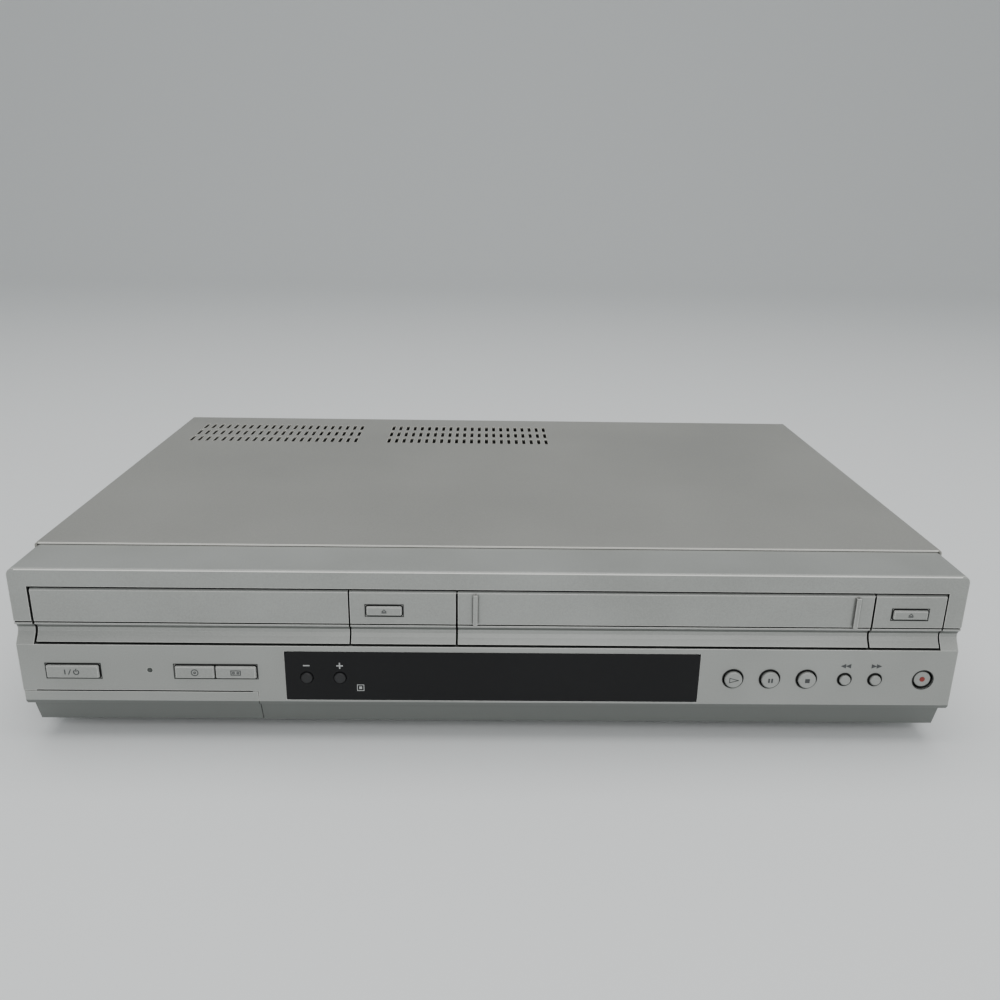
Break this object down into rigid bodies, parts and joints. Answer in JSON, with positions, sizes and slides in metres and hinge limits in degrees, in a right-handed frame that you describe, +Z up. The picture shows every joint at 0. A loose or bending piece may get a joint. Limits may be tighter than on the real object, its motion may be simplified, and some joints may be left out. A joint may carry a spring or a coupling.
{
  "type": "disc and cassette combo player",
  "caption": "Silver front-loading disc and video cassette player: disc tray at left, cassette door at right, dark display below, jack flap.",
  "frame": {"origin": "on the table, under the middle of the player's box", "axes": "+X to the right seen from the front, +Y to the rear, +Z up"},
  "size_m": [0.43, 0.2876, 0.088],
  "materials": {
    "silver_plastic": "fine satin",
    "painted_steel": "fine-grained paint",
    "window_plastic": "gloss",
    "black_plastic": "satin",
    "lamp_lens": "gloss",
    "zinc_steel": "zinc-plated",
    "steel": "machined",
    "foot_plastic": "matt",
    "circuit_board": "lacquered",
    "display_glass": "gloss",
    "jack_metal": "nickel-plated",
    "transformer_core": "varnished",
    "tray_plastic": "satin",
    "gear_plastic": "moulded",
    "belt_rubber": "matt",
    "pickup_plastic": "satin",
    "drum_alloy": "turned"
  },
  "bodies": {
    "casing": {"front_bezel": "silver_plastic", "eject_panels": "silver_plastic", "top_cover": "painted_steel", "display_window": "window_plastic", "push_switches": "black_plastic", "mains_inlet": "black_plastic", "indicator_lamp": "lamp_lens", "bottom_chassis": "zinc_steel", "rear_panel": "zinc_steel", "deck_frame": "zinc_steel", "clamp_bridge": "zinc_steel", "tuner_box": "zinc_steel", "cover_screws": "steel", "tape_guides": "steel", "capstan_motor": "steel", "loading_motor": "steel", "feet": "foot_plastic", "front_board": "circuit_board", "main_board": "circuit_board", "display_module": "display_glass", "front_jacks": "jack_metal", "rear_av_jacks": "jack_metal", "power_transformer": "transformer_core", "loader_frame": "tray_plastic", "loading_belt": "belt_rubber", "lower_drum": "drum_alloy"},
    "tray": {"disc_tray": "tray_plastic", "tray_front": "silver_plastic"},
    "tray_gear": {"tray_gear": "gear_plastic"},
    "drive_pulley": {"drive_pulley": "gear_plastic"},
    "traverse": {"traverse_frame": "zinc_steel", "guide_rods": "steel", "traverse_motors": "steel"},
    "feed_screw": {"feed_screw": "steel"},
    "optical_pickup": {"optical_pickup": "pickup_plastic"},
    "turntable": {"turntable": "pickup_plastic"},
    "disc_clamp": {"disc_clamp": "black_plastic"},
    "cassette_door": {"cassette_door": "silver_plastic"},
    "holder_carriage": {"holder_carriage": "zinc_steel"},
    "cassette_holder": {"cassette_holder": "zinc_steel"},
    "supply_reel": {"supply_reel": "black_plastic"},
    "take_up_reel": {"take_up_reel": "black_plastic"},
    "upper_drum": {"upper_drum": "drum_alloy"},
    "capstan": {"capstan": "steel"},
    "pinch_arm": {"pinch_arm": "steel"},
    "pinch_roller": {"pinch_roller": "black_plastic"},
    "jack_door": {"jack_door": "silver_plastic"},
    "power_button": {"power_button": "silver_plastic"},
    "disc_select_button": {"disc_select_button": "silver_plastic"},
    "tape_select_button": {"tape_select_button": "silver_plastic"},
    "disc_eject_button": {"disc_eject_button": "silver_plastic"},
    "tape_eject_button": {"tape_eject_button": "silver_plastic"},
    "channel_down_button": {"channel_down_button": "black_plastic"},
    "channel_up_button": {"channel_up_button": "black_plastic"},
    "play_button": {"play_button": "silver_plastic"},
    "pause_button": {"pause_button": "silver_plastic"},
    "stop_button": {"stop_button": "silver_plastic"},
    "rewind_button": {"rewind_button": "silver_plastic"},
    "fast_forward_button": {"fast_forward_button": "silver_plastic"},
    "record_button": {"record_button": "silver_plastic"}
  },
  "joints": [
    {"name": "tray_slide", "type": "slide", "parent": "casing", "child": "tray", "axis": [0, -1, 0], "range_m": [0, 0.142]},
    {"name": "tray_gear_spin", "type": "hinge", "parent": "casing", "child": "tray_gear", "pos_m": [-0.09535, -0.1127, 0.055], "axis": [0, 0, 1], "continuous": true},
    {"name": "drive_pulley_spin", "type": "hinge", "parent": "casing", "child": "drive_pulley", "pos_m": [-0.11235, -0.1127, 0.055], "axis": [0, 0, 1], "continuous": true},
    {"name": "traverse_lift", "type": "hinge", "parent": "casing", "child": "traverse", "pos_m": [-0.13535, 0.0313, 0.047], "axis": [-1, 0, 0], "range_deg": [0, 5.03]},
    {"name": "turntable_spin", "type": "hinge", "parent": "traverse", "child": "turntable", "pos_m": [-0.13535, -0.05941, 0.05106], "axis": [0, -0.0877, 0.9961], "continuous": true},
    {"name": "pickup_slide", "type": "slide", "parent": "traverse", "child": "optical_pickup", "axis": [0, 0.9961, 0.0877], "range_m": [0, 0.034]},
    {"name": "feed_screw_spin", "type": "hinge", "parent": "traverse", "child": "feed_screw", "pos_m": [-0.16835, -0.0089, 0.04748], "axis": [0, 0.9961, 0.0877], "continuous": true},
    {"name": "clamp_spin", "type": "hinge", "parent": "casing", "child": "disc_clamp", "pos_m": [-0.13535, -0.0587, 0.074], "axis": [0, 0, 1], "continuous": true},
    {"name": "cassette_door_swing", "type": "hinge", "parent": "casing", "child": "cassette_door", "pos_m": [0.0788, -0.1394, 0.076], "axis": [1, 0, 0], "range_deg": [0, 88], "stiffness_Nm_per_rad": 0.01, "springref_deg": -11.46},
    {"name": "holder_in", "type": "slide", "parent": "casing", "child": "holder_carriage", "axis": [0, 1, 0], "range_m": [0, 0.022]},
    {"name": "holder_down", "type": "slide", "parent": "holder_carriage", "child": "cassette_holder", "axis": [0, 0, -1], "range_m": [0, 0.021]},
    {"name": "supply_reel_spin", "type": "hinge", "parent": "casing", "child": "supply_reel", "pos_m": [0.0326, -0.0457, 0.028], "axis": [0, 0, 1], "continuous": true},
    {"name": "take_up_reel_spin", "type": "hinge", "parent": "casing", "child": "take_up_reel", "pos_m": [0.125, -0.0457, 0.028], "axis": [0, 0, 1], "continuous": true},
    {"name": "upper_drum_spin", "type": "hinge", "parent": "casing", "child": "upper_drum", "pos_m": [0.0788, 0.0573, 0.04], "axis": [0, 0.1028, 0.9947], "continuous": true},
    {"name": "capstan_spin", "type": "hinge", "parent": "casing", "child": "capstan", "pos_m": [0.14, 0.0313, 0.03], "axis": [0, 0, 1], "continuous": true},
    {"name": "pinch_arm_swing", "type": "hinge", "parent": "casing", "child": "pinch_arm", "pos_m": [0.168, 0.0373, 0.028], "axis": [0, 0, 1], "range_deg": [0, 36]},
    {"name": "pinch_roller_spin", "type": "hinge", "parent": "pinch_arm", "child": "pinch_roller", "pos_m": [0.1499, 0.0455, 0.038], "axis": [0, 0, 1], "continuous": true},
    {"name": "jack_door_swing", "type": "hinge", "parent": "casing", "child": "jack_door", "pos_m": [-0.161, -0.1312, 0.0105], "axis": [1, 0, 0], "range_deg": [0, 85]},
    {"name": "power_button_press", "type": "slide", "parent": "casing", "child": "power_button", "axis": [0, 1, 0], "range_m": [0, 0.001], "stiffness_N_per_m": 600},
    {"name": "disc_select_button_press", "type": "slide", "parent": "casing", "child": "disc_select_button", "axis": [0, 1, 0], "range_m": [0, 0.001], "stiffness_N_per_m": 600},
    {"name": "tape_select_button_press", "type": "slide", "parent": "casing", "child": "tape_select_button", "axis": [0, 1, 0], "range_m": [0, 0.001], "stiffness_N_per_m": 600},
    {"name": "disc_eject_button_press", "type": "slide", "parent": "casing", "child": "disc_eject_button", "axis": [0, 1, 0], "range_m": [0, 0.001], "stiffness_N_per_m": 600},
    {"name": "tape_eject_button_press", "type": "slide", "parent": "casing", "child": "tape_eject_button", "axis": [0, 1, 0], "range_m": [0, 0.001], "stiffness_N_per_m": 600},
    {"name": "channel_down_button_press", "type": "slide", "parent": "casing", "child": "channel_down_button", "axis": [0, 1, 0], "range_m": [0, 0.001], "stiffness_N_per_m": 600},
    {"name": "channel_up_button_press", "type": "slide", "parent": "casing", "child": "channel_up_button", "axis": [0, 1, 0], "range_m": [0, 0.001], "stiffness_N_per_m": 600},
    {"name": "play_button_press", "type": "slide", "parent": "casing", "child": "play_button", "axis": [0, 1, 0], "range_m": [0, 0.001], "stiffness_N_per_m": 600},
    {"name": "pause_button_press", "type": "slide", "parent": "casing", "child": "pause_button", "axis": [0, 1, 0], "range_m": [0, 0.001], "stiffness_N_per_m": 600},
    {"name": "stop_button_press", "type": "slide", "parent": "casing", "child": "stop_button", "axis": [0, 1, 0], "range_m": [0, 0.001], "stiffness_N_per_m": 600},
    {"name": "rewind_button_press", "type": "slide", "parent": "casing", "child": "rewind_button", "axis": [0, 1, 0], "range_m": [0, 0.001], "stiffness_N_per_m": 600},
    {"name": "fast_forward_button_press", "type": "slide", "parent": "casing", "child": "fast_forward_button", "axis": [0, 1, 0], "range_m": [0, 0.001], "stiffness_N_per_m": 600},
    {"name": "record_button_press", "type": "slide", "parent": "casing", "child": "record_button", "axis": [0, 1, 0], "range_m": [0, 0.001], "stiffness_N_per_m": 600}
  ],
  "couplings": [
    {"joint": "tray_gear_spin", "follows": "tray_slide", "rad_per_m": -83.333},
    {"joint": "drive_pulley_spin", "follows": "tray_slide", "rad_per_m": 200},
    {"joint": "feed_screw_spin", "follows": "pickup_slide", "rad_per_m": 2094.4}
  ]
}
